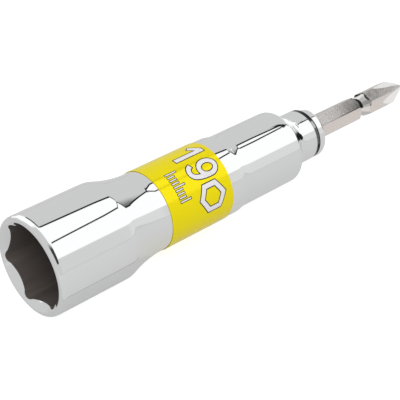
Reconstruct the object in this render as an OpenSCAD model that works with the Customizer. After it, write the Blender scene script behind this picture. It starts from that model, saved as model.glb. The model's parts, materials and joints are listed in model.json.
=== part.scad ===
// Long hexagon socket with a double-ended driver bit held in its neck.
// The axis lies along X: the nut end opens at X = 0 and the outer bit points to +X.
// Angles round the axis are counted from +Y towards +Z. All lengths are in millimetres.

/* [Nut end] */
// Nut size across flats
nut_af = 19; // [17:0.5:21]
// Play across flats between the nut and the recess
nut_play = 0.2; // [0.1:0.05:0.4]
// Turn of the nut recess round the axis, in degrees
nut_turn = 46; // [0:1:60]
// How far the rounded corners stop short of the sharp hexagon corners
corner_cut = 0.2; // [0.1:0.05:0.3]
// Radius of the rounded relief in each corner
relief_r = 2.2; // [1.5:0.1:2.4]
// Wall outside the corners of the recess
corner_wall = 1.87; // [1.7:0.01:3]
// Depth of the hexagon recess
nut_depth = 19; // [12:0.5:20]
// Radius of the rounding round the outside of the mouth
rim_round = 1; // [0.7:0.1:1.2]
// Width of the flat lip of the mouth
rim_flat = 0.25; // [0.2:0.05:0.3]
// Slope of the mouth chamfer against the axis, in degrees
mouth_angle = 49; // [42:1:56]
// Slope of the recess floor against the axis, in degrees
floor_angle = 60; // [50:1:70]
// Diameter of the round bore that clears a long stud
stud_bore_d = 15; // [12:0.5:16]
// Depth of the stud bore from the mouth to the start of its drilled point
stud_bore_depth = 56; // [30:1:58]

/* [Body outline] */
// Length of the front barrel up to its shoulder
front_len = 21.35; // [20.5:0.05:24]
// Radius that rounds the front shoulder off
front_round = 5.8; // [4:0.1:9]
// Radius of the long hollow curve behind the front shoulder
front_hollow = 33.7; // [28:0.1:40]
// Diameter of the waist
waist_d = 21; // [20.4:0.1:22]
// Length of the straight waist
waist_len = 24.6; // [23:0.1:32]
// Radius that rounds the waist off towards the rear barrel
waist_round = 4; // [2:0.5:8]
// Radius of the hollow at the front of the rear barrel
waist_hollow = 10.5; // [6:0.5:14]
// Diameter of the rear barrel
rear_d = 20; // [17:0.1:20.2]
// Length of the straight rear barrel
rear_len = 17.7; // [14:0.1:24]
// Radius that rounds the rear barrel off
rear_round = 0.9; // [0.5:0.1:1.5]
// Radius of the hollow between rear barrel and neck
neck_hollow = 6.2; // [4.5:0.1:7.5]
// Diameter of the neck
neck_d = 14; // [13.9:0.1:16]
// Length of the straight neck
neck_len = 7; // [6.2:0.1:12]
// Radius of the rounding at the neck's free end
neck_round = 0.6; // [0.3:0.1:0.7]

/* [Size label] */
// Width of the label band along the axis
label_w = 20.1; // [10:0.1:21]
// Distance from the front of the straight waist to the label
label_inset = 0.55; // [0.5:0.05:1.8]
// Thickness of the label film
label_t = 0.13; // [0.08:0.01:0.3]
// Glue line between the waist and the label
label_glue = 0.02; // [0.01:0.01:0.05]
// Gap between the two ends of the wrapped label
label_seam = 0.6; // [0.3:0.1:2]
// Where the label's ends meet, in degrees round the axis
label_seam_at = 320; // [0:1:359]

/* [Driver bit] */
// Size of the bit's hexagon across flats
bit_af = 6.35; // [6.2:0.05:6.5]
// Whole length of the bit, tip to tip
bit_len = 60; // [58:0.5:70]
// Turn of the bit's hexagon round the axis, in degrees
bit_turn = 146; // [120:1:180]
// Diameter at the bottom of the two holding grooves
groove_d = 4.8; // [4.6:0.05:5]
// Flat width at the bottom of a holding groove
groove_flat = 0.9; // [0.7:0.05:1]
// Distance from a tip to the near edge of its groove's bottom
groove_from_tip = 18.1; // [17:0.1:20]
// Slope of the groove side that faces the tip, in degrees
groove_tip_slope = 26; // [24:1:30]
// Slope of the groove side that faces the middle, in degrees
groove_mid_slope = 40; // [34:1:45]
// Slope of the driver point against the axis, in degrees
point_angle = 25.5; // [22:0.5:28]
// Diameter of the blunt end of the point
point_d = 1.9; // [1.6:0.1:2.4]
// Radius of the cutter that grinds the flutes
cutter_r = 30; // [22:1:36]
// Included angle of the cutter's edge
cutter_angle = 92; // [84:1:96]
// Distance from the axis to the flute bottom at the tip
core_r = 0.55; // [0.4:0.05:0.7]
// How far beyond the tip the flutes are deepest
flute_lead = 1; // [0.5:0.1:2]
// Turn of the wings against a corner of the hexagon, in degrees
wing_turn = -11; // [-30:1:30]

/* [Bit retainer] */
// Play across flats between the bit and its hole
bit_play = 0.15; // [0.1:0.01:0.2]
// Free space between the inner tip and the floor of its hole
tip_space = 0.6; // [0.4:0.1:1.5]
// Depth of the pilot drilling beyond that floor
pilot_depth = 3.5; // [2:0.5:5]
// Radius of the lead-in chamfer at the mouth of the bit hole
lead_in_r = 4.4; // [4.1:0.1:5]
// Distance from the neck's end to the middle of the ring groove
ring_from_end = 2.75; // [2.7:0.05:3.5]
// Width of the spring ring
ring_w = 1; // [0.8:0.1:1.4]
// Thickness of the spring ring
ring_t = 0.8; // [0.5:0.05:0.9]
// Free space on each side of the ring in its groove
ring_side_gap = 0.1; // [0.05:0.05:0.2]
// Free space under the ring in its groove
ring_seat_gap = 0.05; // [0.03:0.01:0.1]
// Opening between the ends of the ring, in degrees
ring_opening = 16; // [8:1:30]
// Where the ring is open, in degrees round the axis
ring_open_at = 20; // [0:1:60]
// Diameter of the detent ball
ball_d = 3.5; // [3.4:0.05:3.6]
// Free space round the ball in its hole
ball_play = 0.05; // [0.03:0.01:0.08]
// Free space between the ball and the ring
ball_ring_gap = 0.03; // [0.02:0.01:0.05]
// Free space between the ball and the bit's groove
ball_bit_gap = 0.05; // [0.03:0.01:0.08]
// How much narrower the ball hole is where it meets the bit hole
ball_lip = 0.3; // [0.26:0.02:0.3]
// Height of the tapered seat that leads to that lip
ball_seat_h = 0.7; // [0.68:0.02:0.8]

/* [Hidden] */

// Fineness of round forms, and of the arcs in an outline
round_fn = 96;
arc_steps = 12;
// Overlap that keeps a cut clear of the face it starts from
eps = 0.05;
// Slope of a drilled point against its axis
drill_angle = 59;
// Turn between neighbouring corners and between a flat and its corner
hex_step = 60;
half_step = hex_step / 2;
flute_count = 4;
// Height of the cutter's sloping edge, enough to cut the whole bit away outside a flute
cutter_edge = 6;

// Nut recess and front barrel
recess_flat_r = (nut_af + nut_play) / 2;
recess_corner_r = recess_flat_r / cos(half_step) - corner_cut;
barrel_r = recess_corner_r + corner_wall;
mouth_r = barrel_r - rim_round - rim_flat;
stud_bore_r = stud_bore_d / 2;
recess_floor_len = (recess_flat_r - stud_bore_r) / tan(floor_angle);

// Radii and stations of the body, from the mouth to the neck's end
waist_r = waist_d / 2;
rear_r = rear_d / 2;
neck_r = neck_d / 2;
waist_x = front_len + blend_len(barrel_r - waist_r, front_round, front_hollow);
rear_x = waist_x + waist_len + blend_len(waist_r - rear_r, waist_round, waist_hollow);
rear_end_x = rear_x + rear_len;
neck_x = rear_end_x + blend_len(rear_r - neck_r, rear_round, neck_hollow);
body_len = neck_x + neck_len;

// Label
label_x = waist_x + label_inset;
label_in_r = waist_r + label_glue;
label_out_r = label_in_r + label_t;

// Place of the ball: it touches both slopes of the bit's inner groove, a clearance apart
bit_flat_r = bit_af / 2;
bit_corner_r = bit_flat_r / cos(half_step);
// Radius well outside the bit, where the outlines of its cuts end
outer_r = 2 * bit_corner_r;
groove_r = groove_d / 2;
ball_r = ball_d / 2;
seat_reach = ball_r + ball_bit_gap;
slope_ratio = sin(groove_mid_slope) / sin(groove_tip_slope);
seat_height = max(seat_reach, (seat_reach * (1 + slope_ratio) - groove_flat * sin(groove_mid_slope))
    / (cos(groove_mid_slope) + slope_ratio * cos(groove_tip_slope)));
seat_shift = (seat_reach - seat_height * cos(groove_tip_slope)) / sin(groove_tip_slope);
ball_x = body_len - ring_from_end;
ball_from_axis = groove_r + seat_height;
ball_at = bit_turn + 2 * hex_step + half_step;

// Bit: its inner groove lies under the ball
bit_in_x = ball_x - seat_shift - groove_from_tip;
bit_out_x = bit_in_x + bit_len;

// Ring and its groove
ring_in_r = ball_from_axis + ball_r + ball_ring_gap;
ring_out_r = ring_in_r + ring_t;
ring_groove_r = ring_in_r - ring_seat_gap;
ring_groove_w = ring_w + 2 * ring_side_gap;

// Bit hole
hole_flat_r = bit_flat_r + bit_play / 2;
hole_corner_r = hole_flat_r / cos(half_step);
hole_floor_x = bit_in_x - tip_space;
ball_hole_r = ball_r + ball_play;

// Length along the axis of two arcs that lead down by a drop without a corner
function blend_turn(drop, r_out, r_in) = acos(1 - drop / (r_out + r_in));
function blend_len(drop, r_out, r_in) = (r_out + r_in) * sin(blend_turn(drop, r_out, r_in));

// Outline points of those two arcs, as radius and station, from x and r down by the drop
function blend(x, r, drop, r_out, r_in) =
    let (turn = blend_turn(drop, r_out, r_in), end = x + blend_len(drop, r_out, r_in))
    concat(
        [for (i = [0:arc_steps]) let (a = turn * i / arc_steps)
            [r - r_out * (1 - cos(a)), x + r_out * sin(a)]],
        [for (i = [1:arc_steps]) let (a = turn * (1 - i / arc_steps))
            [r - drop + r_in * (1 - cos(a)), end - r_in * sin(a)]]
    );

// Lays what is built along Z down along X, with its X turned to Y and its Y to Z
module lie_down() {
    rotate([90, 0, 90]) children();
}

// Hexagon with a corner on the local X axis
module hexagon(corner_r) {
    circle(r = corner_r, $fn = 6);
}

// Cone or cylinder between two stations of the axis
module turned(x_from, x_to, r_from, r_to) {
    translate([0, 0, x_from])
        cylinder(h = x_to - x_from, r1 = r_from, r2 = r_to, $fn = round_fn);
}

// Washer-shaped solid from x_from, w long
module band(x_from, w, r_in, r_out) {
    translate([0, 0, x_from])
        rotate_extrude($fn = round_fn)
            translate([r_in, 0])
                square([r_out - r_in, w]);
}

module socket_body() {
    color("silver") lie_down() difference() {
        turned_outside();
        nut_recess();
        stud_bore();
        bit_hole();
        band(ball_x - ring_groove_w / 2, ring_groove_w, ring_groove_r, neck_r + eps);
        ball_hole();
    }
}

// Outside of the socket: rim, front barrel, waist, rear barrel and neck in one outline
module turned_outside() {
    rim = [for (i = [0:arc_steps]) let (a = 90 * i / arc_steps)
        [barrel_r - rim_round * (1 - sin(a)), rim_round * (1 - cos(a))]];
    end = [for (i = [0:arc_steps]) let (a = 90 * i / arc_steps)
        [neck_r - neck_round * (1 - cos(a)), body_len - neck_round * (1 - sin(a))]];
    rotate_extrude($fn = round_fn)
        polygon(concat(
            [[0, 0]],
            rim,
            blend(front_len, barrel_r, barrel_r - waist_r, front_round, front_hollow),
            blend(waist_x + waist_len, waist_r, waist_r - rear_r, waist_round, waist_hollow),
            blend(rear_end_x, rear_r, rear_r - neck_r, rear_round, neck_hollow),
            end,
            [[0, body_len]]
        ));
}

// Hexagon recess with rounded corners, its mouth chamfer and its sloping floor
module nut_recess() {
    chamfer_len = (mouth_r - recess_flat_r) / tan(mouth_angle);
    translate([0, 0, -eps])
        linear_extrude(nut_depth + eps)
            rotate(nut_turn) {
                intersection() {
                    hexagon(recess_flat_r / cos(half_step));
                    circle(r = recess_corner_r, $fn = round_fn);
                }
                for (k = [0:5])
                    rotate(k * hex_step)
                        translate([recess_corner_r - relief_r, 0])
                            circle(r = relief_r, $fn = round_fn);
            }
    turned(-eps, chamfer_len, mouth_r + eps * tan(mouth_angle), recess_flat_r);
    turned(nut_depth, nut_depth + recess_floor_len, recess_flat_r, stud_bore_r);
}

// Round bore behind the recess, with the point that its drill leaves
module stud_bore() {
    turned(nut_depth, stud_bore_depth, stud_bore_r, stud_bore_r);
    turned(stud_bore_depth, stud_bore_depth + stud_bore_r / tan(drill_angle), stud_bore_r, 0);
}

// Hexagon hole for the bit, its lead-in chamfer and the pilot drilling under it
module bit_hole() {
    pilot_x = hole_floor_x - pilot_depth;
    lead_in_len = lead_in_r - hole_flat_r;
    translate([0, 0, hole_floor_x])
        linear_extrude(body_len - hole_floor_x + eps)
            rotate(bit_turn)
                hexagon(hole_corner_r);
    turned(body_len - lead_in_len, body_len + eps, hole_flat_r, lead_in_r + eps);
    turned(pilot_x, hole_floor_x + eps, bit_flat_r, bit_flat_r);
    turned(pilot_x - bit_flat_r / tan(drill_angle), pilot_x, 0, bit_flat_r);
}

// Puts what is built along Z at the ball's place, pointing straight out from the axis
module at_ball() {
    translate([0, 0, ball_x])
        rotate([0, 0, ball_at])
            rotate([0, 90, 0])
                children();
}

// Radial hole for the ball, with a tapered seat that keeps the ball out of the bit hole
module ball_hole() {
    at_ball() {
        turned(hole_flat_r + ball_seat_h, neck_r + eps, ball_hole_r, ball_hole_r);
        turned(hole_flat_r, hole_flat_r + ball_seat_h, ball_hole_r - ball_lip, ball_hole_r);
        turned(0, hole_flat_r + eps, ball_hole_r - ball_lip, ball_hole_r - ball_lip);
    }
}

module size_label() {
    color("gold") lie_down() difference() {
        band(label_x, label_w, label_in_r, label_out_r);
        rotate([0, 0, label_seam_at])
            translate([0, -label_seam / 2, label_x - eps])
                cube([label_out_r + eps, label_seam, label_w + 2 * eps]);
    }
}

module retaining_ring() {
    // Half width of the opening's wedge at its far end, outside the ring
    wedge_r = 2 * ring_out_r;
    wedge_half = wedge_r * tan(ring_opening / 2);
    color("dimgray") lie_down() difference() {
        band(ball_x - ring_w / 2, ring_w, ring_in_r, ring_out_r);
        translate([0, 0, ball_x - ring_w])
            linear_extrude(2 * ring_w)
                rotate(ring_open_at)
                    polygon([[0, 0], [wedge_r, -wedge_half], [wedge_r, wedge_half]]);
    }
}

module detent_ball() {
    color("gray") lie_down()
        at_ball()
            translate([0, 0, ball_from_axis])
                sphere(r = ball_r, $fn = round_fn);
}

// Flutes of one driver point, ground by a wheel that leaves the bit in a long arc
module flutes() {
    for (k = [0:flute_count - 1])
        rotate([0, 0, bit_turn + wing_turn + (k + 0.5) * 360 / flute_count])
            translate([cutter_r + core_r, 0, -flute_lead])
                rotate([90, 0, 0])
                    rotate_extrude($fn = round_fn)
                        polygon([
                            [0, -cutter_edge * tan(cutter_angle / 2)],
                            [cutter_r - cutter_edge, -cutter_edge * tan(cutter_angle / 2)],
                            [cutter_r, 0],
                            [cutter_r - cutter_edge, cutter_edge * tan(cutter_angle / 2)],
                            [0, cutter_edge * tan(cutter_angle / 2)]
                        ]);
}

// What is cut from one end of the bit, with its tip at station 0: a holding groove and the flutes
module end_cuts() {
    groove_end = groove_from_tip + groove_flat;
    rotate_extrude($fn = round_fn)
        polygon([
            [groove_r, groove_from_tip],
            [groove_r, groove_end],
            [outer_r, groove_end + (outer_r - groove_r) / tan(groove_mid_slope)],
            [outer_r, groove_from_tip - (outer_r - groove_r) / tan(groove_tip_slope)]
        ]);
    flutes();
}

module double_end_bit() {
    point_r = point_d / 2;
    point_len = (outer_r - point_r) / tan(point_angle);
    color("darkgray") lie_down() translate([0, 0, bit_in_x]) difference() {
        intersection() {
            linear_extrude(bit_len)
                rotate(bit_turn)
                    hexagon(bit_corner_r);
            rotate_extrude($fn = round_fn)
                polygon([
                    [0, 0],
                    [point_r, 0],
                    [outer_r, point_len],
                    [outer_r, bit_len - point_len],
                    [point_r, bit_len],
                    [0, bit_len]
                ]);
        }
        end_cuts();
        translate([0, 0, bit_len]) mirror([0, 0, 1]) end_cuts();
    }
}

socket_body();
size_label();
retaining_ring();
detent_ball();
double_end_bit();
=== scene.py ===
import json
import math

import bmesh
import bpy
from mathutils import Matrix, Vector

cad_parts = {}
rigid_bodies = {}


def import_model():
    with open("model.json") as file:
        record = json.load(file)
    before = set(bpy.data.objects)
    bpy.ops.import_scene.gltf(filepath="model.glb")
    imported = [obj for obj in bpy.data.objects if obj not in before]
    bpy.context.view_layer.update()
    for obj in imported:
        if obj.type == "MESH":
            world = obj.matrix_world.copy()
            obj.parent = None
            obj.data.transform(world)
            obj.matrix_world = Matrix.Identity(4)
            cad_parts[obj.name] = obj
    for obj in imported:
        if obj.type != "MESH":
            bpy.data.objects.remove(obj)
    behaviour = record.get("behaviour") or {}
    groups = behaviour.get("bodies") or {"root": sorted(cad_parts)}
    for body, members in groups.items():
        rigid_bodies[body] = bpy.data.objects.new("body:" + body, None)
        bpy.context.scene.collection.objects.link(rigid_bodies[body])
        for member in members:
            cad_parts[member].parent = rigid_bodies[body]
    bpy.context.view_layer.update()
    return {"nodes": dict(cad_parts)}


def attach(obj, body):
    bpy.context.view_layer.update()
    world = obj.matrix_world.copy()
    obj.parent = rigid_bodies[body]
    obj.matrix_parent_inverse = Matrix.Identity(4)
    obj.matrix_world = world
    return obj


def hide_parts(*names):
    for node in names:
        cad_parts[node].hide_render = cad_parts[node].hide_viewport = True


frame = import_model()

mm = 0.001
scene = bpy.context.scene
print("frame loaded with", sorted(frame["nodes"]))

# Place along the tool (X) and turn round it, counted from +Y towards +Z, to a point in metres
def spot(x, radius, turn):
    a = math.radians(turn)
    return Vector((x, radius * math.cos(a), radius * math.sin(a))) * mm


def addPiece(name, mesh, body, node=None):
    piece = bpy.data.objects.new(name, mesh)
    scene.collection.objects.link(piece)
    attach(piece, body)
    if node:
        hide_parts(node)
    return piece


# shader helpers: each returns the socket of its result
def put(tree, socket, value):
    if isinstance(value, (int, float, tuple)):
        socket.default_value = value
    else:
        tree.links.new(value, socket)


def calc(tree, operation, *values):
    node = tree.nodes.new("ShaderNodeMath")
    node.operation = operation
    for socket, value in zip(node.inputs, values):
        put(tree, socket, value)
    return node.outputs[0]


def product(tree, first, *rest):
    for value in rest:
        first = calc(tree, "MULTIPLY", first, value)
    return first


# Goes smoothly from low to high while value goes from start to end
def fade(tree, value, start, end, low=0.0, high=1.0):
    node = tree.nodes.new("ShaderNodeMapRange")
    node.interpolation_type = "SMOOTHSTEP"
    inputs = {"Value": value, "From Min": start, "From Max": end, "To Min": low, "To Max": high}
    for name, v in inputs.items():
        put(tree, node.inputs[name], v)
    return node.outputs[0]


def towards(tree, a, b, share):
    node = tree.nodes.new("ShaderNodeMix")
    node.data_type = "FLOAT"
    put(tree, node.inputs[0], share)
    put(tree, node.inputs[2], a)
    put(tree, node.inputs[3], b)
    return node.outputs[0]


def tint(tree, a, b, share):
    node = tree.nodes.new("ShaderNodeMix")
    node.data_type = "RGBA"
    put(tree, node.inputs[0], share)
    put(tree, node.inputs[6], a)
    put(tree, node.inputs[7], b)
    return node.outputs[2]


def noise(tree, scale, detail=3.0, stretch=(1, 1, 1)):
    place = tree.nodes.new("ShaderNodeTexCoord")
    grid = tree.nodes.new("ShaderNodeMapping")
    grid.inputs["Scale"].default_value = stretch
    cloud = tree.nodes.new("ShaderNodeTexNoise")
    cloud.inputs["Scale"].default_value = scale
    cloud.inputs["Detail"].default_value = detail
    tree.links.new(place.outputs["Object"], grid.inputs["Vector"])
    tree.links.new(grid.outputs["Vector"], cloud.inputs["Vector"])
    return cloud.outputs["Fac"]


# camera, at the photograph's viewing angle
camera = {
    "place": (-117.58, -187.30, 161.97),  # in millimetres from the centre of the nut mouth
    "azimuth": -42.398,
    "elevation": 33.336,
    "lens": 105.79,
    "sensor": 36.0,
    "clipStart": 0.01,
}
az, el = math.radians(camera["azimuth"]), math.radians(camera["elevation"])
forward = -Vector((math.sin(az) * math.cos(el), -math.cos(az) * math.cos(el), math.sin(el)))
eye = bpy.data.objects.new("camera", bpy.data.cameras.new("camera"))
eye.data.sensor_width = camera["sensor"]
eye.data.lens = camera["lens"]
eye.data.clip_start = camera["clipStart"]
eye.location = Vector(camera["place"]) * mm
eye.rotation_euler = forward.to_track_quat("-Z", "Y").to_euler()
scene.collection.objects.link(eye)
scene.camera = eye
scene.view_settings.view_transform = "Standard"
print("camera set")

# the light tent: a pale room with a grey sheet, its dark edges and a dark gap at its near end.
# along is the mirrored ray's share of the tool's direction; u (along the tool) and v (across it)
# are its place on a plane overhead; four numbers are where a change begins, ends, and its two values
tent = {
    "white": 1.06, "grey": 0.633, "front": 0.67, "frontFar": 0.74, "nearWall": 0.62,
    "dark": 0.05, "line": 0.01, "horizon": 0.03,
    # edge of the white roof: a straight side, a round corner, an askew far side
    "roofReach": 0.944, "roofSlope": 0.94, "corner": (0.825, 0.862), "tip": 0.839, "askew": 0.11,
    # grey sheet, and the shade that spreads from its edge towards the far end
    "sheetStart": 0.42, "sheetSoft": 0.012,
    "shadeReach": (0.9, 2.2, 0.2, 0.62), "shadeDepth": (0.9, 1.9, 0.0, 0.86),
    "frontAlong": (0.47, 0.66), "frontDown": (-1.54, -1.78),
    "wallUp": (0.62, 0.3), "wallAlong": (0.34, 0.28),
    "gapEnd": 0.385, "gapLean": 0.05, "gapLow": -2.4, "gapSoft": 0.03,
    "gapTop": (-0.35, -0.75), "gapFoot": (-2.6, -2.2),
    "wallEnd": -0.1, "wallStep": 0.26, "wallSoft": 0.08, "stepUp": (0.3, 0.62), "stepOver": (3.6, 2.2),
    # dark lines: the sheet's edge, its cross edge and the roof's seam
    "edgeWide": (0.8, 1.6, 0.031, 0.042), "edgeSoft": (1.4, 0.85),
    "crossAt": 0.424, "crossWide": (0.016, 0.008), "crossIn": (0.0, 0.03), "crossOver": (2.6, 2.0),
    "seamSlope": -1.458, "seamWide": (0.056, 0.028), "seamIn": (0.0, 0.02), "seamAlong": (0.43, 0.445),
}


def makeTent(s):
    world = bpy.data.worlds.new("lightTent")
    scene.world = world
    world.use_nodes = True
    t = world.node_tree
    t.nodes.clear()
    where = t.nodes.new("ShaderNodeSeparateXYZ")
    t.links.new(t.nodes.new("ShaderNodeTexCoord").outputs["Generated"], where.inputs[0])
    along = where.outputs[0]
    height = calc(t, "MAXIMUM", where.outputs[2], s["horizon"])
    u = calc(t, "DIVIDE", along, height)
    v = calc(t, "DIVIDE", where.outputs[1], height)
    left = calc(t, "SUBTRACT", s["tip"], u)

    def rimAt(at):
        side = product(t, calc(t, "SUBTRACT", s["roofReach"], at), s["roofSlope"])
        far = product(t, calc(t, "SUBTRACT", s["tip"], at), s["askew"])
        return towards(t, side, far, fade(t, at, *s["corner"]))

    # how far past the roof's edge: straight across, and square to the edge
    rim = rimAt(u)
    past = calc(t, "SUBTRACT", v, rim)
    step = 0.004
    steep = calc(t, "DIVIDE", calc(t, "SUBTRACT", rim, rimAt(calc(t, "ADD", u, step))), step)
    beside = calc(t, "DIVIDE", past, calc(t, "SQRT", calc(t, "ADD", product(t, steep, steep), 1.0)))
    # grey sheet and its shade
    onSheet = fade(t, along, s["sheetStart"], s["sheetStart"] + s["sheetSoft"])
    near = fade(t, calc(t, "DIVIDE", past, fade(t, u, *s["shadeReach"])), 1.0, 0.0)
    grey = towards(t, s["grey"], s["dark"], product(t, near, fade(t, u, *s["shadeDepth"])))
    value = towards(t, s["white"], grey, product(t, fade(t, past, 0.0, s["sheetSoft"]), onSheet))
    # the lower wall on the camera's side
    front = fade(t, along, *s["frontAlong"], s["front"], s["frontFar"])
    value = towards(t, value, front, fade(t, v, *s["frontDown"]))
    # near end of the tent: the near wall, a dark leaning gap, and the wall again beyond its stepped end
    wall = product(t, fade(t, v, *s["wallUp"]), fade(t, along, *s["wallAlong"]))
    value = towards(t, value, s["nearWall"], wall)
    down = calc(t, "MAXIMUM", calc(t, "MINIMUM", v, 0.0), s["gapLow"])
    gapEnd = calc(t, "ADD", s["gapEnd"], product(t, down, s["gapLean"]))
    nearEnd = fade(t, calc(t, "SUBTRACT", along, gapEnd), s["gapSoft"], 0.0)
    gap = product(t, fade(t, v, *s["gapTop"]), fade(t, v, *s["gapFoot"]), nearEnd)
    value = towards(t, value, s["dark"], gap)
    raised = product(t, fade(t, v, *s["stepUp"]), fade(t, v, *s["stepOver"]))
    wallEnd = towards(t, s["wallEnd"], s["wallEnd"] - s["wallStep"], raised)
    beyond = fade(t, calc(t, "SUBTRACT", along, wallEnd), 0.0, -s["wallSoft"])
    value = towards(t, value, s["nearWall"], beyond)
    # dark lines
    offEdge = calc(t, "DIVIDE", calc(t, "ABSOLUTE", beside), fade(t, u, *s["edgeWide"]))
    edge = fade(t, offEdge, *s["edgeSoft"])
    cross = fade(t, calc(t, "ABSOLUTE", calc(t, "SUBTRACT", along, s["crossAt"])), *s["crossWide"])
    seamOff = calc(t, "SUBTRACT", v, product(t, left, s["seamSlope"]))
    seam = fade(t, calc(t, "ABSOLUTE", seamOff), *s["seamWide"])
    lines = (
        product(t, edge, onSheet),
        product(t, cross, fade(t, past, *s["crossIn"]), fade(t, v, *s["crossOver"])),
        product(t, seam, fade(t, left, *s["seamIn"]), fade(t, along, *s["seamAlong"])),
    )
    for line in lines:
        value = towards(t, value, s["line"], line)
    paint = t.nodes.new("ShaderNodeCombineColor")
    for channel in paint.inputs:
        t.links.new(value, channel)
    seen = t.nodes.new("ShaderNodeBackground")
    seen.inputs["Color"].default_value = (1, 1, 1, 1)
    light = t.nodes.new("ShaderNodeBackground")
    t.links.new(paint.outputs[0], light.inputs["Color"])
    pick = t.nodes.new("ShaderNodeMixShader")
    t.links.new(t.nodes.new("ShaderNodeLightPath").outputs["Is Camera Ray"], pick.inputs[0])
    t.links.new(light.outputs[0], pick.inputs[1])
    t.links.new(seen.outputs[0], pick.inputs[2])
    t.links.new(pick.outputs[0], t.nodes.new("ShaderNodeOutputWorld").inputs[0])


makeTent(tent)

# one soft lamp for the shadow; the tent is what the chrome shows
lamp = {"place": (-0.25, -0.42, 0.54), "aim": (0.06, 0, 0), "size": 0.45, "power": 2.3}
lampData = bpy.data.lights.new("softLamp", "AREA")
lampData.size = lamp["size"]
lampData.energy = lamp["power"]
lampPiece = bpy.data.objects.new("softLamp", lampData)
lampPiece.location = lamp["place"]
lampPiece.rotation_euler = (Vector(lamp["aim"]) - Vector(lamp["place"])).to_track_quat("-Z", "Y").to_euler()
lampPiece.visible_glossy = False
scene.collection.objects.link(lampPiece)

# light cards over, beside and below the bit, in millimetres; only mirrors see them. A card is drawn
# by its corners, or across the tool at one place along it, by its corners (across, up)
cards = {
    "overBit": {"tone": 0.3, "corners": ((122, -10, 34), (140, -10, 34), (140, 5, 34), (122, 5, 34))},
    "overTip": {"tone": 0.1, "corners": ((140, -10, 34), (153, -10, 34), (153, 5, 34), (140, 5, 34))},
    "overPoint": {"tone": 1.06, "corners": ((150, 6, 34), (215, 6, 34), (215, 45, 34), (150, 45, 34))},
    "overNeck": {"tone": 1.06, "corners": (
        (115.5, -26.2, 13.7), (122.5, -35.0, 24.0), (132.5, -30.0, 38.8), (140.0, -17.5, 49.8),
        (147.5, -2.5, 60.5), (150.0, 15.8, 64.2), (128.2, 14.0, 32.5), (115.5, 14.0, 13.7),
    )},
    "besideBit": {"tone": 1.06, "at": 97, "corners": (
        (1, 9.5), (2.6, 10.5), (5.5, 10), (9, 8.5), (11, 4), (10, 0), (7, 2), (4, 3.2), (1.8, 4.2), (1, 6),
    )},
    "acrossBit": {"tone": 0.01, "at": 116.5, "corners": (
        (-21, 7.3), (-21, 11.2), (-16, 14), (-9.5, 12.6), (-4.5, 9.5), (-1, 7.2), (2, 7),
        (6.6, 7), (7.2, 4.7), (4.7, 1.2), (-1.8, 0.9), (-8.2, 0.2), (-14.7, 2.1),
    )},
    "belowBit": {"tone": 0.93, "tint": (1, 0.945, 0.92), "corners": (
        (96, -7, -6), (140, -7, -6), (140, -7, 0.5), (96, -7, 0.5),
    )},
}


def hangCard(name, s):
    mesh = bpy.data.meshes.new(name)
    corners = [(s["at"], *corner) if "at" in s else corner for corner in s["corners"]]
    mesh.from_pydata([Vector(corner) * mm for corner in corners], [], [tuple(range(len(corners)))])
    material = bpy.data.materials.new(name)
    material.use_nodes = True
    t = material.node_tree
    t.nodes.clear()
    tone = t.nodes.new("ShaderNodeEmission")
    tone.inputs["Strength"].default_value = s["tone"]
    tone.inputs["Color"].default_value = (*s.get("tint", (1, 1, 1)), 1)
    t.links.new(tone.outputs[0], t.nodes.new("ShaderNodeOutputMaterial").inputs[0])
    mesh.materials.append(material)
    plate = bpy.data.objects.new(name, mesh)
    scene.collection.objects.link(plate)
    plate.visible_camera = False
    plate.visible_diffuse = False
    plate.visible_shadow = False


for cardName, card in cards.items():
    hangCard(cardName, card)

# floor: the tool lies on its front shoulder and on the rear barrel's end
floor = {
    "touchFront": (21.5, 12.75), "touchRear": (80.62, 10.0), "below": 0.01,
    "half": 1.6,  # half its side, in metres
    "sheet": 0.3, "seen": 0.86,
    # what mirrors see, all painted shade: paper in the socket's shade, a darker strip inside the shadow's
    # edge, and the shadow's dark edge
    "shaded": 0.36, "inner": 0.06, "edge": 0.3,
    "edgeAt": -18.7, "edgeWide": 0.28, "edgeCore": 0.14, "innerSoft": 0.2, "edgeEnd": 36.0, "endSoft": 4.0,
}


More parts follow.
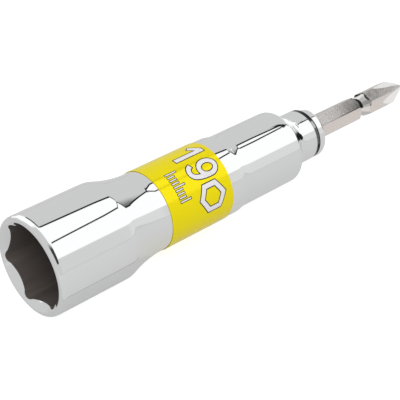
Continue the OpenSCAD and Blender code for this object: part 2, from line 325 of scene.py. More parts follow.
def makeFloor(s):
    (xa, ra), (xb, rb) = s["touchFront"], s["touchRear"]
    slope = (ra - rb) / (xb - xa)
    middle = (-ra - s["below"] - slope * xa) * mm
    half = s["half"]
    around = ((-half, -half), (half, -half), (half, half), (-half, half))
    corners = [(x, y, middle + slope * x) for x, y in around]
    mesh = bpy.data.meshes.new("floor")
    mesh.from_pydata(corners, [], [(0, 1, 2, 3)])
    plate = bpy.data.objects.new("floor", mesh)
    scene.collection.objects.link(plate)
    material = bpy.data.materials.new("palePaper")
    material.use_nodes = True
    t = material.node_tree
    t.nodes.clear()
    paper = t.nodes.new("ShaderNodeBsdfDiffuse")
    paper.inputs["Color"].default_value = (s["sheet"], s["sheet"], s["sheet"], 1)
    glow = t.nodes.new("ShaderNodeEmission")
    place = t.nodes.new("ShaderNodeSeparateXYZ")
    t.links.new(t.nodes.new("ShaderNodeTexCoord").outputs["Object"], place.inputs[0])
    # painted shadow for mirrors: darker inside a line along the shadow's edge, with a dark line on that
    # edge
    offEdge = calc(t, "SUBTRACT", place.outputs[1], s["edgeAt"] * mm)
    beside = fade(t, place.outputs[0], s["edgeEnd"] * mm, (s["edgeEnd"] - s["endSoft"]) * mm)
    inner = product(t, fade(t, offEdge, 0.0, s["innerSoft"] * mm), beside, s["inner"])
    edge = fade(t, calc(t, "ABSOLUTE", offEdge), s["edgeWide"] * mm, s["edgeCore"] * mm)
    edge = product(t, edge, beside, s["edge"])
    mirrored = calc(t, "SUBTRACT", calc(t, "SUBTRACT", s["shaded"], inner), edge)
    seen = t.nodes.new("ShaderNodeLightPath").outputs["Is Camera Ray"]
    t.links.new(towards(t, mirrored, s["seen"], seen), glow.inputs["Strength"])
    both = t.nodes.new("ShaderNodeAddShader")
    t.links.new(paper.outputs[0], both.inputs[0])
    t.links.new(glow.outputs[0], both.inputs[1])
    t.links.new(both.outputs[0], t.nodes.new("ShaderNodeOutputMaterial").inputs[0])
    mesh.materials.append(material)


makeFloor(floor)
print("tent, lamp, cards and floor made")

# finishes: cloud is the noise (size, detail, stretch) that varies the gloss between the two values
# of rough where it passes cover; bump is the noise of the relief, with its depth in metres and strength
looks = {
    "chromePlate": {
        "color": (0.93, 0.935, 0.94), "cloud": (260, 4), "cover": (0.35, 0.75), "rough": (0.018, 0.05),
        "bump": (90, 2), "relief": (0.00002, 0.05),
    },
    "bareRecess": {
        "metallic": 0.55, "cloud": (900, 3, (0.06, 1, 1)), "rough": (0.4, 0.58),
        "bump": (900, 3, (0.06, 1, 1)), "relief": (0.00004, 0.4),
        "plain": ((0.16, 0.137, 0.128), (0.22, 0.192, 0.18)),
        # the corners are painted lighter than the flats: a painted highlight on the corner reliefs
        "litCorner": ((0.17, 0.148, 0.13), (0.25, 0.22, 0.195)),
        "litCornerWide": (0.165, 0.14),  # half width of a corner's relief, in sixths of a turn
    },
    "satinSteel": {
        "colors": ((0.64, 0.61, 0.59), (0.7, 0.675, 0.655)), "cloud": (700, 3), "rough": (0.24, 0.34),
        "bump": (2900, 2), "relief": (0.00006, 1.0),
    },
    "groundSteel": {
        "color": (0.74, 0.73, 0.715), "cloud": (2600, 3), "rough": (0.09, 0.2),
        "bump": (1500, 2), "relief": (0.00001, 0.25),
    },
    "springSteel": {
        "cloud": (1800, 3), "rough": (0.18, 0.32),
        # painted reflection: a lighter grey on one side of the ring, and a painted highlight at one spot
        "black": (0.035, 0.035, 0.037), "sheenTone": (0.17, 0.17, 0.172), "glintTone": (0.5, 0.5, 0.495),
        "sheenFrom": (110, 150), "glintAt": 131, "glintWide": (0.2, 0.1),  # degrees, and radians for the last
    },
    "ballSteel": {"color": (0.7, 0.7, 0.71), "cloud": (2400, 2), "rough": (0.06, 0.16)},
    # the chrome under the clear yellow film shows through as a yellow mirror
    "yellowFilm": {"color": (0.97, 0.812, 0.002), "spread": 0.015, "metallic": 0.37, "rough": (0.12, 0.17)},
    "whiteInk": {"color": (0.83, 0.81, 0.84), "spread": 0.02},
    "darkInk": {"color": (0.02, 0.016, 0.006), "spread": 0.1},
}


def startFinish(name, s):
    material = bpy.data.materials.new(name)
    material.use_nodes = True
    t = material.node_tree
    shader = t.nodes["Principled BSDF"]
    shader.inputs["Metallic"].default_value = s.get("metallic", 1.0)
    if "color" in s:
        shader.inputs["Base Color"].default_value = (*s["color"], 1)
    cloud = noise(t, *s["cloud"])
    t.links.new(fade(t, cloud, *s.get("cover", (0.3, 0.7)), *s["rough"]), shader.inputs["Roughness"])
    if "bump" in s:
        bump = t.nodes.new("ShaderNodeBump")
        bump.inputs["Distance"].default_value, bump.inputs["Strength"].default_value = s["relief"]
        t.links.new(noise(t, *s["bump"]), bump.inputs["Height"])
        t.links.new(bump.outputs["Normal"], shader.inputs["Normal"])
    return material, t, shader, cloud


# Angle round the axis, in radians, from the place on the piece
def turnRound(t):
    place = t.nodes.new("ShaderNodeSeparateXYZ")
    t.links.new(t.nodes.new("ShaderNodeTexCoord").outputs["Object"], place.inputs[0])
    return calc(t, "ARCTAN2", place.outputs[2], place.outputs[1])


def makeMetal(name):
    s = looks[name]
    material, t, shader, cloud = startFinish(name, s)
    if "colors" in s:
        low, high = s["colors"]
        t.links.new(tint(t, (*low, 1), (*high, 1), cloud), shader.inputs["Base Color"])
    return material


def makeRecess(name, cornerTurn):
    s = looks[name]
    material, t, shader, streaks = startFinish(name, s)
    # angle from the nearest corner of the hexagon, in sixths of a turn
    sixth = product(t, calc(t, "SUBTRACT", turnRound(t), math.radians(cornerTurn)), 3 / math.pi)
    away = calc(t, "ABSOLUTE", calc(t, "SUBTRACT", sixth, calc(t, "ROUND", sixth)))
    # corners painted lighter: a painted highlight where the corner reliefs catch the light
    plain, litCorner = [tint(t, (*low, 1), (*high, 1), streaks) for low, high in (s["plain"], s["litCorner"])]
    t.links.new(tint(t, plain, litCorner, fade(t, away, *s["litCornerWide"])), shader.inputs["Base Color"])
    return material


# The black ring is painted lighter grey on one side and bright at one spot: a painted reflection and a
# painted highlight
def makeSpring(name):
    s = looks[name]
    material, t, shader, _ = startFinish(name, s)
    turn = turnRound(t)
    side = fade(t, turn, *(math.radians(a) for a in s["sheenFrom"]))
    offGlint = calc(t, "ABSOLUTE", calc(t, "SUBTRACT", turn, math.radians(s["glintAt"])))
    glint = fade(t, offGlint, *s["glintWide"])
    tone = tint(t, (*s["black"], 1), (*s["sheenTone"], 1), side)
    t.links.new(tint(t, tone, (*s["glintTone"], 1), glint), shader.inputs["Base Color"])
    return material


# what film and ink share, unless looks says otherwise
filmLook = {
    "metallic": 0.0, "cloud": (150, 2), "rough": (0.26, 0.34),
    "patches": (60, 2), "patchCover": (0.35, 0.65), "shine": 0.2,
}


def makeFilm(name):
    s = {**filmLook, **looks[name]}
    material, t, shader, _ = startFinish(name, s)
    low = tuple(c * (1 - s["spread"]) for c in s["color"])
    shade = fade(t, noise(t, *s["patches"]), *s["patchCover"])
    t.links.new(tint(t, (*low, 1), (*s["color"], 1), shade), shader.inputs["Base Color"])
    shader.inputs["Specular IOR Level"].default_value = s["shine"]
    return material


nutTurn = 46.0  # where the first corner of the nut recess points
chrome, satin = makeMetal("chromePlate"), makeMetal("satinSteel")
ground, ballSteel = makeMetal("groundSteel"), makeMetal("ballSteel")
recessSteel, spring = makeRecess("bareRecess", nutTurn), makeSpring("springSteel")
yellow, white, outline = [makeFilm(n) for n in ("yellowFilm", "whiteInk", "darkInk")]
print("finishes made")

# socket body, turned from one outline; all lengths in millimetres
socket = {
    "barrel": 12.755, "frontLength": 21.35, "frontRound": 5.8, "frontHollow": 33.7,
    "waist": 10.5, "waistStart": 34.506, "waistLength": 24.6, "waistRound": 4.0, "waistHollow": 10.5,
    "rear": 10.0, "rearStart": 62.88, "rearLength": 17.7, "rearRound": 0.9, "rearHollow": 6.2,
    "neck": 7.0, "neckStart": 87.2, "length": 93.377, "neckRound": 0.6, "neckSteps": 8,
    "rim": 1.0, "rimSetIn": 0.045, "rimSteps": 12, "rimTurn": 7.0, "rimEnd": 1.6, "rimEndSteps": 8,
    "mouth": 11.505, "mouthAngle": 49.0,
    "nutFlat": 9.6, "nutReach": 10.885, "relief": 2.2, "nutTurn": nutTurn,
    "nutDepth": 19.0, "nutMiddle": 10.0,
    "bore": 7.5, "boreStart": 20.212, "boreEnd": 56.0, "borePoint": 60.506,
    "groove": 90.627, "grooveWidth": 1.2, "grooveFloor": 5.983, "grooveChamfer": 0.07,
    "holeFlat": 3.25, "holeTurn": 26.0, "holeFloor": 71.619, "leadIn": 4.4,
    "pilot": 3.175, "pilotEnd": 68.119, "pilotPoint": 66.212,
    "ballTurn": 296.0, "ballHole": 1.8, "ballLip": 1.5, "lipHeight": 0.7,
    "pinFrom": 1.0, "pinTo": 8.0, "pinSides": 64,
    # how far the polishing softens the outline's bends, and where the outline is worked out
    "polish": 0.3, "polishReach": 3, "outlineFrom": 2.0, "outlineTo": 86.9, "outlineStep": 0.05,
    "bendStep": 1.1, "longestStep": 5.0, "shortStraight": 1.0, "sharpAngle": 24,
    # edges are held by rows of points this close to them
    "hold": 0.05, "fineHold": 0.03, "floorHold": 0.02, "lipHold": 0.04, "mouthHold": 0.14,
    "cornerIn": 0.04, "cornerOut": 0.035,
    # further places of points round the recess's relieved corners, in degrees from each corner
    "reliefTurns": (0.5, 1.5, 2.5, 8.5, 8.9, 9.33, 9.6),
}


def cornerAngle(turn, first):
    return (turn - first + 30.0) % 60.0 - 30.0


def nutRadius(turn, s):
    off = math.radians(abs(cornerAngle(turn, s["nutTurn"])))
    flat = min(s["nutFlat"] / math.cos(math.radians(30) - off), s["nutReach"])
    centre = s["nutReach"] - s["relief"]
    room = s["relief"] ** 2 - (centre * math.sin(off)) ** 2
    lobe = centre * math.cos(off) + math.sqrt(room) if room > 0 else 0.0
    return max(flat, lobe)


def holeRadius(turn, s):
    off = math.radians(abs(cornerAngle(turn, s["holeTurn"])))
    return s["holeFlat"] / math.cos(math.radians(30) - off)


# Slope of the outline at x, from pairs of arcs that lead from one radius to the next
def outlineSlope(x, s):
    steps = (
        (s["frontLength"], s["barrel"] - s["waist"], s["frontRound"], s["frontHollow"]),
        (s["waistStart"] + s["waistLength"], s["waist"] - s["rear"], s["waistRound"], s["waistHollow"]),
        (s["rearStart"] + s["rearLength"], s["rear"] - s["neck"], s["rearRound"], s["rearHollow"]),
    )
    for start, drop, outer, inner in steps:
        turn = math.acos(1 - drop / (outer + inner))
        middle = start + outer * math.sin(turn)
        end = middle + inner * math.sin(turn)
        if start < x <= middle:
            return math.asin((x - start) / outer)
        if middle < x < end:
            return math.asin((end - x) / inner)
    return 0.0


def softOutline(s):
    step, first = s["outlineStep"], s["outlineFrom"]
    count = int(s["outlineTo"] / step)
    slopes = [outlineSlope(i * step, s) for i in range(count + 1)]
    reach = int(s["polishReach"] * s["polish"] / step)
    near = range(-reach, reach + 1)
    weights = [math.exp(-0.5 * (k * step / s["polish"]) ** 2) for k in near]
    soft = []
    for i in range(count + 1):
        total = sum(w * slopes[min(max(i + k, 0), count)] for k, w in zip(near, weights))
        soft.append(total / sum(weights))
    fall = sum(math.tan(a) for a in soft) * step
    share = (s["barrel"] - s["neck"]) / fall
    points, radius, kept = [(first, s["barrel"])], s["barrel"], (first, 0.0)
    for i in range(1, count + 1):
        radius -= share * math.tan(soft[i]) * step
        x, bend = i * step, abs(soft[i] - kept[1])
        if x > first and (bend > math.radians(s["bendStep"]) or x - kept[0] > s["longestStep"]):
            before = (x - step, radius + share * math.tan(soft[i]) * step)
            if kept[1] == 0.0 and before[0] - kept[0] > s["shortStraight"]:
                points.append(before)
            points.append((x, radius))
            kept = (x, soft[i])
    return points


def socketStations(s):
    slope = math.tan(math.radians(s["mouthAngle"]))
    corner = lambda a: (s["mouth"] - nutRadius(a, s)) / slope
    nut = lambda a: nutRadius(a, s)
    hole = lambda a: holeRadius(a, s)
    leadX = lambda a: s["length"] - (s["leadIn"] - holeRadius(a, s))
    dark, bright = 1, 0
    hold, fine, lip = s["hold"], s["fineHold"], s["lipHold"]
    # each station is a place along the tool, a radius, and the finish from there on
    rows = [(s["borePoint"], 0.0, dark), (s["boreEnd"], s["bore"], dark)]
    rows += [(s["boreEnd"] - 4 * hold, s["bore"], dark), (s["boreStart"] + 2 * hold, s["bore"], dark)]
    rows += [(s["boreStart"], s["bore"], dark), (s["nutDepth"], s["nutFlat"], dark)]
    rows += [(s["nutDepth"], lambda a: nut(a) - s["floorHold"], dark)]
    rows += [(s["nutDepth"] - hold, nut, dark)]
    rows += [(s["nutMiddle"], nut, dark), (lambda a: corner(a) + s["cornerIn"], nut, dark)]
    rows += [(lambda a: corner(a) - fine, lambda a: nut(a) + s["cornerOut"], bright)]
    rows += [(s["mouthHold"], s["mouth"] - s["mouthHold"] * slope, bright), (lip, s["mouth"] - lip, bright)]
    rows += [(0.0, s["mouth"] + fine, bright)]
    middle = s["barrel"] - s["rimSetIn"] - s["rim"]
    rows += [(0.0, middle - lip, bright)]
    for i in range(s["rimSteps"]):
        a = math.radians(90 - s["rimTurn"] * i)
        rows.append((s["rim"] * (1 - math.sin(a)), middle + s["rim"] * math.cos(a), bright))
    # the rim's last few degrees run out slowly into the barrel
    lastX, lastR = rows[-1][0], rows[-1][1]
    for i in range(1, s["rimEndSteps"]):
        k = i / s["rimEndSteps"]
        out = lastR + (s["barrel"] - lastR) * (2 * k - k * k)
        rows.append((lastX + (s["rimEnd"] - lastX) * k, out, bright))
    rows += [(x, r, bright) for x, r in softOutline(s)]
    # the ring's groove, with a chamfer on each side
    neck, low, chamfer = s["neck"], s["grooveFloor"], s["grooveChamfer"]
    start, end = s["groove"] - s["grooveWidth"] / 2, s["groove"] + s["grooveWidth"] / 2
    rows += [(s["neckStart"], neck, bright), (start - chamfer - 2 * hold, neck, bright)]
    rows += [(start - chamfer, neck, bright), (start, neck - chamfer, bright)]
    rows += [(start, low + hold, bright), (start + hold, low, bright)]
    rows += [(end - hold, low, bright), (end, low + hold, bright)]
    rows += [(end, neck - chamfer, bright), (end + chamfer, neck, bright)]
    rows += [(end + chamfer + 2 * hold, neck, bright)]
    # round end of the neck, then the bit hole
    q = s["neckRound"]
    rows.append((s["length"] - q - 2 * hold, neck, bright))
    for i in range(s["neckSteps"] + 1):
        a = math.radians(90 / s["neckSteps"] * i)
        rows.append((s["length"] - q + q * math.sin(a), neck - q + q * math.cos(a), bright))
    rows += [(s["length"], neck - q - 2 * hold, bright), (s["length"], s["leadIn"] + 2 * fine, bright)]
    rows += [(s["length"] - fine, s["leadIn"], bright)]
    rows += [(lambda a: leadX(a) + fine, lambda a: hole(a) + fine, bright)]
    rows += [(lambda a: leadX(a) - fine, hole, bright)]
    rows += [(s["holeFloor"] + hold, hole, dark)]
    rows += [(s["holeFloor"], lambda a: hole(a) - s["floorHold"], dark)]
    rows += [(s["holeFloor"], s["pilot"], dark), (s["pilotEnd"], s["pilot"], dark)]
    rows += [(s["pilotPoint"], 0.0, dark)]
    return rows


def socketTurns(s):
    turns = {float(i) for i in range(360)}
    for k in range(6):
        for off in s["reliefTurns"]:
            turns.update(((s["nutTurn"] + 60 * k + off) % 360, (s["nutTurn"] + 60 * k - off) % 360))
    return sorted(turns)


def valueAt(value, turn):
    return value(turn) if callable(value) else value


def makeSocket(s):
    rows, turns = socketStations(s), socketTurns(s)
    bm = bmesh.new()
    rings = []
    for x, r, _ in rows:
        if r == 0.0:
            rings.append([bm.verts.new(spot(x, 0, 0))])
        else:
            rings.append([bm.verts.new(spot(valueAt(x, a), valueAt(r, a), a)) for a in turns])
    for (_, _, look), a, b in zip(rows, rings, rings[1:]):
        for i in range(len(turns)):
            j = (i + 1) % len(turns)
            if len(a) == 1:
                face = bm.faces.new((a[0], b[j], b[i]))
            elif len(b) == 1:
                face = bm.faces.new((a[i], a[j], b[0]))
            else:
                face = bm.faces.new((a[i], a[j], b[j], b[i]))
            face.material_index = look
            face.smooth = True
    bmesh.ops.recalc_face_normals(bm, faces=bm.faces)
    mesh = bpy.data.meshes.new("socketShell")
    bm.to_mesh(mesh)
    bm.free()
    mesh.materials.append(chrome)
    mesh.materials.append(recessSteel)
    return mesh


# The ball's hole: a round pin that narrows to the lip, pointing straight out from the axis
def makeBallPin(s):
    narrow, wide, lip = s["ballLip"], s["ballHole"], s["holeFlat"]
    steps = [(s["pinFrom"], narrow), (lip, narrow), (lip + s["lipHeight"], wide), (s["pinTo"], wide)]
    bm = bmesh.new()
    count = s["pinSides"]
    a = math.radians(s["ballTurn"])
    out = Vector((0, math.cos(a), math.sin(a)))
    side = Vector((0, -math.sin(a), math.cos(a)))
    along = Vector((1, 0, 0))
    rings = []
    for high, r in steps:
        ring = []
        for i in range(count):
            t = 2 * math.pi * i / count
            point = along * s["groove"] + out * high + along * r * math.cos(t) + side * r * math.sin(t)
            ring.append(bm.verts.new(point * mm))
        rings.append(ring)
    for lower, upper in zip(rings, rings[1:]):
        for i in range(count):
            j = (i + 1) % count
            bm.faces.new((lower[i], lower[j], upper[j], upper[i])).smooth = True
    bm.faces.new(rings[0])
    bm.faces.new(rings[-1])
    bmesh.ops.recalc_face_normals(bm, faces=bm.faces)
    mesh = bpy.data.meshes.new("ballPin")
    bm.to_mesh(mesh)
    bm.free()
    return mesh


def cut(mesh, tool):
    base = bpy.data.objects.new("cutBase", mesh)
    cutter = bpy.data.objects.new("cutTool", tool)
    scene.collection.objects.link(base)
    scene.collection.objects.link(cutter)
    step = base.modifiers.new("cut", "BOOLEAN")
    step.operation = "DIFFERENCE"
    step.solver = "EXACT"
    step.object = cutter
    result = bpy.data.meshes.new_from_object(base.evaluated_get(bpy.context.evaluated_depsgraph_get()))
    result.name = mesh.name
    bpy.data.objects.remove(base)
    bpy.data.objects.remove(cutter)
    return result


shell = cut(makeSocket(socket), makeBallPin(socket))
shell.set_sharp_from_angle(angle=math.radians(socket["sharpAngle"]))
addPiece("socketShell", shell, "socket", "socket_body")
print("socket body:", len(shell.polygons), "faces")


# geometry node helpers
def newTree(name, sizes):
    tree = bpy.data.node_groups.new(name, "GeometryNodeTree")
    for key, value in sizes.items():
        kind = "NodeSocketFloat"
        if isinstance(value, bpy.types.Material):
            kind = "NodeSocketMaterial"
        elif isinstance(value, int):
            kind = "NodeSocketInt"
        tree.interface.new_socket(key, in_out="INPUT", socket_type=kind)
    tree.interface.new_socket("Geometry", in_out="OUTPUT", socket_type="NodeSocketGeometry")
    return tree, tree.nodes.new("NodeGroupInput").outputs, tree.nodes.new("NodeGroupOutput").inputs[0]


# Adds a node; values are its settings or its inputs, with a low line for a space in an input's name
def addNode(tree, kind, **values):
    node = tree.nodes.new(kind)
    for key, value in values.items():
        if hasattr(node, key):
            setattr(node, key, value)
        else:
            put(tree, node.inputs[key.replace("_", " ")], value)
    return node


def vec(tree, x=0.0, y=0.0, z=0.0):
    node = tree.nodes.new("ShaderNodeCombineXYZ")
    for socket, value in zip(node.inputs, (x, y, z)):
        put(tree, socket, value)
    return node.outputs[0]


def add(tree, first, *rest):
    for value in rest:
        first = calc(tree, "ADD", first, value)
    return first


def instances(tree, count, block, **places):
    points = addNode(tree, "GeometryNodePoints", Count=count)
    if "Position" in places:
        put(tree, points.inputs["Position"], places.pop("Position"))
    many = addNode(tree, "GeometryNodeInstanceOnPoints", Points=points.outputs[0], Instance=block, **places)
    return many.outputs[0]


# Runs a tree on an empty mesh and keeps what it makes as a plain mesh; given a sharp angle, it is smooth
# but for its sharp edges
def growMesh(name, tree, sizes, sharpAngle=None):
    host = bpy.data.objects.new(name + "Host", bpy.data.meshes.new(name + "Host"))
    scene.collection.objects.link(host)
    step = host.modifiers.new(name, "NODES")
    step.node_group = tree
    for item in tree.interface.items_tree:
        if item.in_out == "INPUT":
            step[item.identifier] = sizes[item.name]
    mesh = bpy.data.meshes.new_from_object(host.evaluated_get(bpy.context.evaluated_depsgraph_get()))
    mesh.name = name
    host.modifiers.remove(step)
    bpy.data.objects.remove(host)
    if sharpAngle is not None:
        mesh.polygons.foreach_set("use_smooth", [True] * len(mesh.polygons))
        mesh.set_sharp_from_angle(angle=math.radians(sharpAngle))
    return mesh


# Ends a tree: millimetres to metres, laid down along X, realized, and given one material if one is passed
def endTree(tree, geometry, out, material=None):
    lay = addNode(tree, "GeometryNodeTransform", Geometry=geometry)
    lay.inputs["Rotation"].default_value = (math.pi / 2, 0, math.pi / 2)
    lay.inputs["Scale"].default_value = (mm, mm, mm)
    last = addNode(tree, "GeometryNodeRealizeInstances", Geometry=lay.outputs[0]).outputs[0]
    if material is not None:
        last = addNode(tree, "GeometryNodeSetMaterial", Geometry=last, Material=material).outputs[0]
    tree.links.new(last, out)


# a band bent round the axis: the label film and the spring ring
def bandTree(name, sizes):
    tree, size, out = newTree(name, sizes)
    thickness = size["thickness"]
    opening = calc(tree, "RADIANS", size["opening"])
    middle = add(tree, size["inside"], product(tree, thickness, 0.5))
    start = add(tree, calc(tree, "RADIANS", size["openAt"]), product(tree, opening, 0.5))
    sweep = calc(tree, "SUBTRACT", 2 * math.pi, opening)
    arc = addNode(tree, "GeometryNodeCurveArc", Resolution=size["steps"], Radius=middle)
    put(tree, arc.inputs["Start Angle"], start)
    put(tree, arc.inputs["Sweep Angle"], sweep)
    strip = addNode(tree, "GeometryNodeCurvePrimitiveQuadrilateral", Width=thickness, Height=size["width"])
    soft = addNode(tree, "GeometryNodeFilletCurve", mode="POLY", Curve=strip.outputs[0])
    put(tree, soft.inputs["Count"], size["roundSteps"])
    put(tree, soft.inputs["Radius"], size["round"])
    swept = addNode(tree, "GeometryNodeCurveToMesh", Curve=arc.outputs[0], Profile_Curve=soft.outputs[0])
    swept.inputs["Fill Caps"].default_value = True
    place = vec(tree, z=size["place"])
    move = addNode(tree, "GeometryNodeTransform", Geometry=swept.outputs[0], Translation=place)
    endTree(tree, move.outputs[0], out, size["finish"])
    return tree


label = {
    "inside": 10.52, "thickness": 0.13, "width": 20.1, "place": 45.106, "openAt": 320.0, "opening": 3.2,
    "round": 0.04, "roundSteps": 1, "steps": 360, "finish": yellow,
}
ring = {
    "inside": 6.033, "thickness": 0.8, "width": 1.0, "place": 90.627, "openAt": 20.0, "opening": 16.0,
    "round": 0.16, "roundSteps": 5, "steps": 220, "finish": spring,
}
film = growMesh("labelFilm", bandTree("labelBand", label), label, sharpAngle=30)
addPiece("labelFilm", film, "socket", "size_label")
hoop = growMesh("springRing", bandTree("ringBand", ring), ring, sharpAngle=40)
addPiece("springRing", hoop, "socket", "retaining_ring")
print("label film and ring made")

# print on the label: a plain number, a hexagon outline and a row of tick marks; strokes by half
# their width, heights above the film, turns in degrees, places along the tool from base
ink = {
    "surface": 10.65, "sunk": 0.006, "darkHigh": 0.012, "whiteHigh": 0.022, "border": 0.26,
    "columns": 6, "piece": 0.35, "sharpest": 0.35,
    "base": 44.5, "stroke": 0.64, "stemTurn": 93.1, "stemHigh": 9.1,
    "flagStart": (0.15, 8.55), "flagTurn": 78.6, "flagLow": 6.35,
    "nineTurn": 122.1, "nineStroke": 0.6,
    "bowlMiddle": 6.1, "bowlWide": 1.86, "bowlTall": 2.38, "bowlSteps": 48,
    # the nine's tail: two curves, their points across from its middle and up from base
    "tailDown": ((1.86, 6.1), (1.86, 2.6), (1.2, 0.64), (-0.2, 0.64)), "tailDownSteps": 22,
    "tailBack": ((-0.2, 0.64), (-1.05, 0.64), (-1.7, 1.05), (-2.05, 2.05)), "tailBackSteps": 10,
    "hexTurn": 161.5, "hexMiddle": 4.1, "hexReach": 3.5, "hexStroke": 0.62,
}


# A flat stroke of ink laid on the film along a path of (turn in millimetres, place along the tool)
def layStroke(bm, path, half, high, look, closed=False, ends=0.0):
    fine = []
    count = len(path) if closed else len(path) - 1
    for i in range(count):
        a, b = Vector(path[i]), Vector(path[(i + 1) % len(path)])
        pieces = max(1, math.ceil((b - a).length / ink["piece"]))
        fine += [a.lerp(b, k / pieces) for k in range(pieces)]
    if not closed:
        fine.append(Vector(path[-1]))
        fine[0] -= (fine[1] - fine[0]).normalized() * ends
        fine[-1] += (fine[-1] - fine[-2]).normalized() * ends
    rows = []
    for i, p in enumerate(fine):
        before = fine[i - 1] if closed or i > 0 else None
        after = fine[(i + 1) % len(fine)] if closed or i < len(fine) - 1 else None
        into = (p - before).normalized() if before is not None else (after - p).normalized()
        away = (after - p).normalized() if after is not None else into
        normal = Vector((-(into + away).y, (into + away).x)).normalized()
        reach = half / max(ink["sharpest"], normal.dot(Vector((-into.y, into.x))))
        rows.append([p + normal * reach * (2 * k / ink["columns"] - 1) for k in range(ink["columns"] + 1)])

    def level(radius):
        turned = lambda q: math.degrees(q.x / ink["surface"])
        return [[bm.verts.new(spot(q.y, radius, turned(q))) for q in row] for row in rows]

    top, low = level(ink["surface"] + high), level(ink["surface"] - ink["sunk"])
    last = len(rows) if closed else len(rows) - 1
    made = []
    for i in range(last):
        j = (i + 1) % len(rows)
        for k in range(ink["columns"]):
            made.append(bm.faces.new((top[i][k], top[i][k + 1], top[j][k + 1], top[j][k])))
            made.append(bm.faces.new((low[j][k], low[j][k + 1], low[i][k + 1], low[i][k])))
        for k, flip in ((0, False), (ink["columns"], True)):
            quad = [top[i][k], top[j][k], low[j][k], low[i][k]]
            made.append(bm.faces.new(quad[::-1] if flip else quad))
    if not closed:
        for i, flip in ((0, True), (len(rows) - 1, False)):
            for k in range(ink["columns"]):
                quad = [top[i][k], top[i][k + 1], low[i][k + 1], low[i][k]]
                made.append(bm.faces.new(quad[::-1] if flip else quad))
    for face in made:
        face.material_index = look


def onArc(turn):
    return math.radians(turn) * ink["surface"]


def bezier(points, steps):
    made = []
    for i in range(steps + 1):
        t = i / steps
        w = ((1 - t) ** 3, 3 * t * (1 - t) ** 2, 3 * t * t * (1 - t), t ** 3)
        made.append(tuple(sum(w[n] * p[k] for n, p in enumerate(points)) for k in range(2)))
    return made


def roundPath(x, y, wide, tall, count):
    turns = [2 * math.pi * i / count for i in range(count)]
    return [(x + wide * math.cos(a), y + tall * math.sin(a)) for a in turns]


# Every path of the print with its half stroke, whether it is closed, and whether its ends are free
def printPaths(s):
    base, stem, nine = s["base"], onArc(s["stemTurn"]), onArc(s["nineTurn"])
    flagOff, flagHigh = s["flagStart"]
    one = (
        ((stem, base), (stem, base + s["stemHigh"])),
        ((stem - flagOff, base + flagHigh), (onArc(s["flagTurn"]), base + s["flagLow"])),
    )
    bowl = roundPath(nine, base + s["bowlMiddle"], s["bowlWide"], s["bowlTall"], s["bowlSteps"])
    down, back = [[(nine + x, base + y) for x, y in s[key]] for key in ("tailDown", "tailBack")]
    tail = bezier(down, s["tailDownSteps"]) + bezier(back, s["tailBackSteps"])[1:]
    hexagon, reach = [], s["hexReach"]
    for k in range(6):
        a = math.radians(60 * k)
        across, up = reach * math.sin(a), reach * math.cos(a)
        hexagon.append((onArc(s["hexTurn"]) + across, base + s["hexMiddle"] + up))
    paths = [(path, s["stroke"], False) for path in one]
    paths += [(bowl, s["nineStroke"], True), (tail, s["nineStroke"], False)]
    return paths + [(hexagon, s["hexStroke"], True)]


def makePrint(s):
    bm = bmesh.new()
    whiteSlot, darkSlot = 0, 1
    for look, high, border in ((darkSlot, s["darkHigh"], s["border"]), (whiteSlot, s["whiteHigh"], 0.0)):
        for path, half, closed in printPaths(s):
            layStroke(bm, path, half + border, high, look, closed, ends=border)
    bmesh.ops.recalc_face_normals(bm, faces=bm.faces)
    mesh = bpy.data.meshes.new("labelPrint")
    bm.to_mesh(mesh)
    bm.free()
    mesh.materials.append(white)
    mesh.materials.append(outline)
    return mesh


addPiece("labelPrint", makePrint(ink), "socket")

# tick marks: one in each longEvery is long; grow makes the dark border round each of them
ticks = {
    "count": 9, "longEvery": 4.0, "first": 108.4, "pitch": 5.2, "base": 38.85,
    "surface": 10.65, "sunk": 0.006, "high": 0.022,
    "width": 0.34, "long": 3.3, "short": 2.1, "grow": 0.0, "finish": white,
}


def tickTree(name, sizes):
    tree, size, out = newTree(name, sizes)
    index = tree.nodes.new("GeometryNodeInputIndex").outputs[0]
    isLong = calc(tree, "COMPARE", calc(tree, "MODULO", index, size["longEvery"]), 0.0, 0.1)
    plain = towards(tree, size["short"], size["long"], isLong)
    grown = product(tree, size["grow"], 2.0)
    deep = add(tree, size["sunk"], size["high"])
    turn = calc(tree, "RADIANS", add(tree, size["first"], product(tree, index, size["pitch"])))
    lift = product(tree, calc(tree, "SUBTRACT", size["high"], size["sunk"]), 0.5)
    radius = add(tree, size["surface"], lift)
    middle = add(tree, size["base"], product(tree, plain, 0.5))
    across = product(tree, radius, calc(tree, "COSINE", turn))
    up = product(tree, radius, calc(tree, "SINE", turn))
    block = tree.nodes.new("GeometryNodeMeshCube")
    block.inputs["Size"].default_value = (1, 1, 1)
    block.inputs["Vertices Y"].default_value = 3
    places = {
        "Position": vec(tree, across, up, middle),
        "Rotation": vec(tree, z=turn),
        "Scale": vec(tree, deep, add(tree, size["width"], grown), add(tree, plain, grown)),
    }
    endTree(tree, instances(tree, size["count"], block.outputs[0], **places), out, size["finish"])
    return tree


tickMarks = tickTree("tickMarks", ticks)
addPiece("labelTicks", growMesh("labelTicks", tickMarks, ticks), "socket")
borders = dict(ticks, high=0.012, grow=0.18, finish=outline)
addPiece("labelTickBorders", growMesh("labelTickBorders", tickMarks, borders), "socket")
print("label print made")

# detent ball, under the ring on the hidden side
ball = {"radius": 1.75, "place": 90.627, "fromAxis": 4.2527, "turn": 296.0, "subdivisions": 5}


def makeBall(s):
    bm = bmesh.new()
    bmesh.ops.create_icosphere(bm, subdivisions=s["subdivisions"], radius=s["radius"] * mm)
    bmesh.ops.translate(bm, verts=bm.verts, vec=spot(s["place"], s["fromAxis"], s["turn"]))
    for face in bm.faces:
        face.smooth = True
    mesh = bpy.data.meshes.new("detentBall")
    bm.to_mesh(mesh)
    bm.free()
    mesh.materials.append(ballSteel)
    return mesh


addPiece("detentBall", makeBall(ball), "ball", "detent_ball")

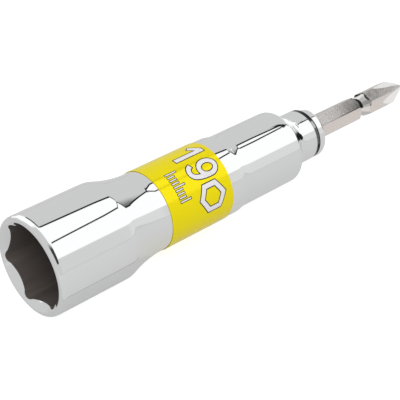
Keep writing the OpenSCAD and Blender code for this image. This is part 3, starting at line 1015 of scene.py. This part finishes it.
# driver bit: a hexagon bar, pointed at both ends, with grooves turned and flutes ground in
bit = {
    "start": 72.219, "length": 60.0, "flat": 3.175, "softCorner": 3.61, "turn": 26.0,
    "grooveRadius": 2.4, "grooveFlat": 0.9, "grooveAt": 18.1, "tipSlope": 26.0, "middleSlope": 40.0,
    "pointRadius": 0.95, "pointSlope": 25.5,
    "cutter": 30.0, "cutterAngle": 92.0, "core": 0.55, "lead": 1.0, "edge": 6.0, "edgeBack": 1.0,
    "wingTurn": 45.0, "flutes": 4,
    "outside": 8.0,  # a radius well outside the bar
    "rodSides": 180, "pointSides": 128, "grooveSides": 160, "cutterSides": 360,
    "bar": satin, "cuts": ground,
}


def bitTree(name, sizes):
    tree, size, out = newTree(name, sizes)
    length, cuts = size["length"], size["cuts"]

    def tangent(angle):
        return calc(tree, "TANGENT", calc(tree, "RADIANS", angle))

    def minus(value):
        return product(tree, value, -1.0)

    def withFinish(geometry, finish):
        return addNode(tree, "GeometryNodeSetMaterial", Geometry=geometry, Material=finish).outputs[0]

    def cone(sides, low, high, finish):
        node = addNode(tree, "GeometryNodeMeshCone", Vertices=sides, Radius_Top=high, Radius_Bottom=low)
        put(tree, node.inputs["Depth"], length)
        return withFinish(node.outputs[0], finish)

    # A closed ring with a four-cornered outline, given as places out and along from a circle
    def sweptRing(sides, radius, corners):
        path = addNode(tree, "GeometryNodeCurvePrimitiveCircle", Radius=radius, Resolution=sides)
        shape = tree.nodes.new("GeometryNodeCurvePrimitiveQuadrilateral")
        shape.mode = "POINTS"
        for i, (x, y) in enumerate(corners):
            put(tree, shape.inputs["Point %d" % (i + 1)], vec(tree, x, y))
        swept = addNode(tree, "GeometryNodeCurveToMesh", Curve=path.outputs[0])
        put(tree, swept.inputs["Profile Curve"], shape.outputs[0])
        return withFinish(swept.outputs[0], cuts)

    def moved(geometry, x=0.0, z=0.0, turn=None, flip=None):
        node = addNode(tree, "GeometryNodeTransform", Geometry=geometry, Translation=vec(tree, x, 0.0, z))
        if turn is not None:
            put(tree, node.inputs["Rotation"], vec(tree, z=turn))
        if flip is not None:
            node.inputs["Rotation"].default_value = (flip, 0, 0)
        return node.outputs[0]

    def boolean(operation, first, others):
        node = addNode(tree, "GeometryNodeMeshBoolean", operation=operation, solver="EXACT")
        if operation == "DIFFERENCE":
            tree.links.new(first, node.inputs["Mesh 1"])
            node.inputs["Self Intersection"].default_value = True
        else:
            others = [first] + others
        for other in others:
            tree.links.new(other, node.inputs["Mesh 2"])
        return node.outputs[0]

    # bar with slightly rounded corners, between two end cones
    corner = calc(tree, "DIVIDE", size["flat"], math.cos(math.radians(30)))
    bar = moved(cone(6, corner, corner, size["bar"]), turn=calc(tree, "RADIANS", size["turn"]))
    rod = cone(size["rodSides"], size["softCorner"], size["softCorner"], size["bar"])
    far = add(tree, size["pointRadius"], product(tree, length, tangent(size["pointSlope"])))
    head = cone(size["pointSides"], size["pointRadius"], far, cuts)
    tail = cone(size["pointSides"], far, size["pointRadius"], cuts)
    blank = boolean("INTERSECT", bar, [rod, head, tail])

    # one groove, swept round the bar from its outline
    grooveEnd = add(tree, size["grooveAt"], size["grooveFlat"])
    rise = calc(tree, "SUBTRACT", size["outside"], size["grooveRadius"])
    upper = calc(tree, "SUBTRACT", size["grooveAt"], calc(tree, "DIVIDE", rise, tangent(size["tipSlope"])))
    lower = add(tree, grooveEnd, calc(tree, "DIVIDE", rise, tangent(size["middleSlope"])))
    ends = (grooveEnd, lower, upper, size["grooveAt"])
    corners = [(high, minus(end)) for high, end in zip((0.0, rise, rise, 0.0), ends)]
    groove = sweptRing(size["grooveSides"], size["grooveRadius"], corners)

    # one grinding wheel with its sloping edge, stood up beside the point
    half = product(tree, size["edge"], tangent(product(tree, size["cutterAngle"], 0.5)))
    back = minus(size["edge"])
    inside = calc(tree, "SUBTRACT", back, size["edgeBack"])
    kite = ((0.0, 0.0), (back, half), (inside, 0.0), (back, minus(half)))
    stood = moved(sweptRing(size["cutterSides"], size["cutter"], kite), flip=math.pi / 2)
    wheel = moved(stood, x=add(tree, size["cutter"], size["core"]), z=minus(size["lead"]))

    # the wheel goes round the point once for each flute
    index = tree.nodes.new("GeometryNodeInputIndex").outputs[0]
    share = calc(tree, "DIVIDE", 2 * math.pi, size["flutes"])
    turn = product(tree, add(tree, index, 0.5), share)
    around = instances(tree, size["flutes"], wheel, Rotation=vec(tree, z=turn))
    wheels = addNode(tree, "GeometryNodeRealizeInstances", Geometry=around).outputs[0]
    # the other end is the same set of tools turned over
    over, wheelsOver = [moved(moved(kit, flip=math.pi), z=length) for kit in (groove, wheels)]
    wingTurn = calc(tree, "RADIANS", size["wingTurn"])
    tools = [groove, over, moved(wheels, turn=wingTurn), moved(wheelsOver, turn=wingTurn)]
    endTree(tree, moved(boolean("DIFFERENCE", blank, tools), z=size["start"]), out)
    return tree


steel = growMesh("doubleEndBit", bitTree("bitFromBar", bit), bit, sharpAngle=22)
addPiece("doubleEndBit", steel, "bit", "double_end_bit")
print("bit made:", len(steel.polygons), "faces")
